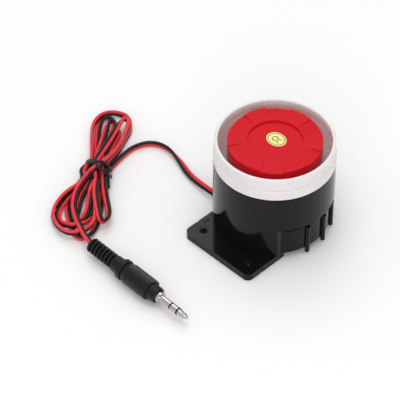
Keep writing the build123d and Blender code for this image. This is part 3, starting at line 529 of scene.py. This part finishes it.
def twin_profile():
    """The figure-of-eight section: points as (along the pair, beside it), and which core each side is."""
    reach = pi - acos(CORE_OFF / CORE_R)
    angles = [-reach + 2 * reach * index / CORE_SIDES for index in range(CORE_SIDES + 1)]
    red = [(CORE_OFF + CORE_R * cos(angle), CORE_R * sin(angle)) for angle in angles]
    black = [(-point[0], -point[1]) for point in red]
    return red[:-1] + black[:-1], [0] * CORE_SIDES + [1] * CORE_SIDES


def spline_value(values, share):
    """A list of values blended at a share of its span, as the route's line blends its points."""
    spans = len(values) - 2
    place_at = min(share * spans, spans - 1e-9)
    start = int(place_at)
    rest = place_at - start
    first, second, third = values[start:start + 3]
    before = (first + second) / 2 if start > 0 else first
    after = (second + third) / 2 if start < spans - 1 else third
    return before * (1 - rest) ** 2 + second * 2 * rest * (1 - rest) + after * rest ** 2


def twin_lead(name, route, turns, materials):
    """Two round cores joined side by side along a route's NURBS line."""
    points = nurbs_points(route, LINE_STEPS)
    ways = tangents(points)
    section, cores = twin_profile()
    size = len(section)
    spots, faces, slots, sharp = [], [], [], set()
    last = len(points) - 1
    for index, (point, way) in enumerate(zip(points, ways)):
        left = Vector((0, 0, 1)).cross(way).normalized()
        over = way.cross(left)
        turn = radians(spline_value(turns, index / last))
        pair = left * cos(turn) + over * sin(turn)
        beside = way.cross(pair)
        spots += [point + pair * a + beside * b for a, b in section]
    for ring in range(last):
        for side in range(size):
            after = (side + 1) % size
            faces.append((ring * size + side, ring * size + after,
                          (ring + 1) * size + after, (ring + 1) * size + side))
            slots.append(cores[side])
        for seam in (0, size // 2):
            sharp.add((ring * size + seam, (ring + 1) * size + seam))
    faces.append(tuple(reversed(range(size))))
    slots.append(1)
    faces.append(tuple(last * size + side for side in range(size)))
    slots.append(1)
    piece = add_mesh(name, spots, faces, materials, slots, sharp)
    return piece, points


twin, twin_line = twin_lead("twin_lead", cord_route, cord_turns, [CORD_RED, CORD_BLACK])
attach(twin, "root")
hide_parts("body_lead", "cord_hank", "plug_lead")


# ---------------------------------------------------------------- twist tie round the hank's waist
RIDGE = 0.5               # the strip's raised wire, in shares of its half thickness


def strip(name, points, across, half_width, half_thick, material):
    """A flat strip with a raised wire along its middle, following points with a width direction at each."""
    section = [(-1.0, 0.0), (-0.92, 0.8), (-0.45, 1.0), (-0.30, 1.0 + RIDGE), (0.0, 1.0 + 1.6 * RIDGE),
               (0.30, 1.0 + RIDGE), (0.45, 1.0), (0.92, 0.8), (1.0, 0.0), (0.92, -0.8), (0.45, -1.0),
               (0.0, -1.0 - RIDGE), (-0.45, -1.0), (-0.92, -0.8)]
    size = len(section)
    ways = tangents(points)
    spots, faces = [], []
    for point, way, wide in zip(points, ways, across):
        level = (wide - way * wide.dot(way)).normalized()
        out = way.cross(level)
        spots += [point + level * a * half_width + out * b * half_thick for a, b in section]
    for ring in range(len(points) - 1):
        for side in range(size):
            after = (side + 1) % size
            faces.append((ring * size + side, (ring + 1) * size + side,
                          (ring + 1) * size + after, ring * size + after))
    faces.append(tuple(range(size)))
    faces.append(tuple((len(points) - 1) * size + side for side in reversed(range(size))))
    return add_mesh(name, spots, faces, [material])


# The strip's two turns round the waist, from one tucked end to the other: along, across, height
TIE_ROUTE = [
    (-5.2, 7.0, 2.8), (-6.6, 6.8, 4.6), (-7.9, 5.8, 6.9), (-7.7, 3.8, 8.7), (-6.6, 1.2, 10.0),
    (-3.4, -1.8, 9.4), (-0.8, -3.4, 8.0), (0.4, -5.4, 6.2), (1.0, -6.3, 4.0), (1.4, -6.0, 1.4),
    (1.6, -4.4, 0.6), (1.6, -1.5, 0.6), (1.6, 1.5, 0.6), (1.4, 4.8, 0.6), (0.8, 6.0, 1.2),
    (-0.8, 6.4, 3.2), (-2.2, 6.0, 5.4), (-2.6, 4.6, 7.8), (-2.7, 2.3, 9.7), (-2.9, -0.2, 9.9),
    (-2.3, -2.2, 9.0), (-1.4, -3.8, 7.8), (-1.2, -5.0, 6.4),
]
TIE_STEPS = 8
TIE_HALF_W = 0.90 * MM
TIE_HALF_T = 0.26 * MM
tie_points = nurbs_points([hank_spot(*spot) for spot in TIE_ROUTE], TIE_STEPS)
tie = strip("twist_tie", tie_points, [HANK_ALONG] * len(tie_points), TIE_HALF_W, TIE_HALF_T, TIE)
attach(tie, "root")
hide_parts("cord_tie")


# ---------------------------------------------------------------- twist tie's twisted ends
TAIL_FROM = hank_spot(-5.6, 5.0, 8.2)
TAIL_TO = hank_spot(-11.5, 6.3, 1.5)
TAIL_LIFT = 0.3 * MM      # how far the twist arches over its straight line
TAIL_TURNS = 1.4
TAIL_R = 0.70 * MM        # from the twist's middle to each strip's
TAIL_SLIMMING = 0.25      # share of that radius lost by the far end
TAIL_STEPS = 44
TAIL_SLANT = (0.45, 0.9)  # the strip's width lies this much along the twist and this much round it
TAIL_HALF_W = 0.95 * MM
TAIL_HALF_T = 0.30 * MM


def twisted_end(name, phase):
    """A flat strip end that winds round the line from the twist's start to its end."""
    axis = (TAIL_TO - TAIL_FROM).normalized()
    side = Vector((0, 0, 1)).cross(axis).normalized()
    over = axis.cross(side)
    points, across = [], []
    for index in range(TAIL_STEPS + 1):
        share = index / TAIL_STEPS
        angle = phase + 2 * pi * TAIL_TURNS * share
        swell = TAIL_R * (1.0 - TAIL_SLIMMING * share)
        hump = TAIL_LIFT * 4 * share * (1 - share)
        out = side * cos(angle) + over * sin(angle)
        points.append(TAIL_FROM.lerp(TAIL_TO, share) + out * swell + Vector((0, 0, hump)))
        round_it = side * -sin(angle) + over * cos(angle)
        across.append(axis * TAIL_SLANT[0] + round_it * TAIL_SLANT[1])
    return strip(name, points, across, TAIL_HALF_W, TAIL_HALF_T, TIE)


tie_ends = [twisted_end("tie_end_1", 0.0), twisted_end("tie_end_2", pi)]
for tail in tie_ends:
    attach(tail, "root")


# ---------------------------------------------------------------- floor and light
def floor_material():
    """Plain pale studio paper."""
    material, tree, shader = new_material("studio_paper")
    vector = coordinates(tree)
    fibre = noise(tree, vector, 0.002, 2.0)
    blended = blend_colours(tree, fibre, (0.93, 0.93, 0.93), (0.95, 0.95, 0.95))
    tree.links.new(blended, shader.inputs["Base Color"])
    shader.inputs["Roughness"].default_value = 0.9
    shader.inputs["Specular IOR Level"].default_value = 0.1
    return material


FLOOR_HALF = 3.0
FLOOR_Z = -0.2 * MM
floor_corners = [(FLOOR_HALF * x, FLOOR_HALF * y, FLOOR_Z) for x, y in ((-1, -1), (1, -1), (1, 1), (-1, 1))]
floor = add_mesh("studio_floor", floor_corners, [(0, 1, 2, 3)], [floor_material()])

world = bpy.data.worlds.new("studio")
world.use_nodes = True
sky = world.node_tree.nodes["Background"]
sky.inputs["Color"].default_value = (1.0, 1.0, 1.0, 1.0)
sky.inputs["Strength"].default_value = 0.66
scene.world = world


LAMP_AIM = Vector((-0.02, -0.01, 0.02))


def soft_lamp(name, spot, size, power):
    """A square area lamp that faces the siren."""
    data = bpy.data.lights.new(name, "AREA")
    data.shape = "SQUARE"
    data.size = size
    data.energy = power
    lamp = bpy.data.objects.new(name, data)
    scene.collection.objects.link(lamp)
    facing = (LAMP_AIM - spot).to_track_quat("-Z", "Y").to_matrix().to_4x4()
    lamp.matrix_world = Matrix.Translation(spot) @ facing


soft_lamp("back_softbox", Vector((-0.60, 0.45, 1.10)), 0.6, 2.2)
soft_lamp("front_softbox", Vector((0.70, -0.80, 0.60)), 0.8, 3.0)
soft_lamp("top_softbox", Vector((0.05, -0.10, 1.35)), 0.8, 4.5)
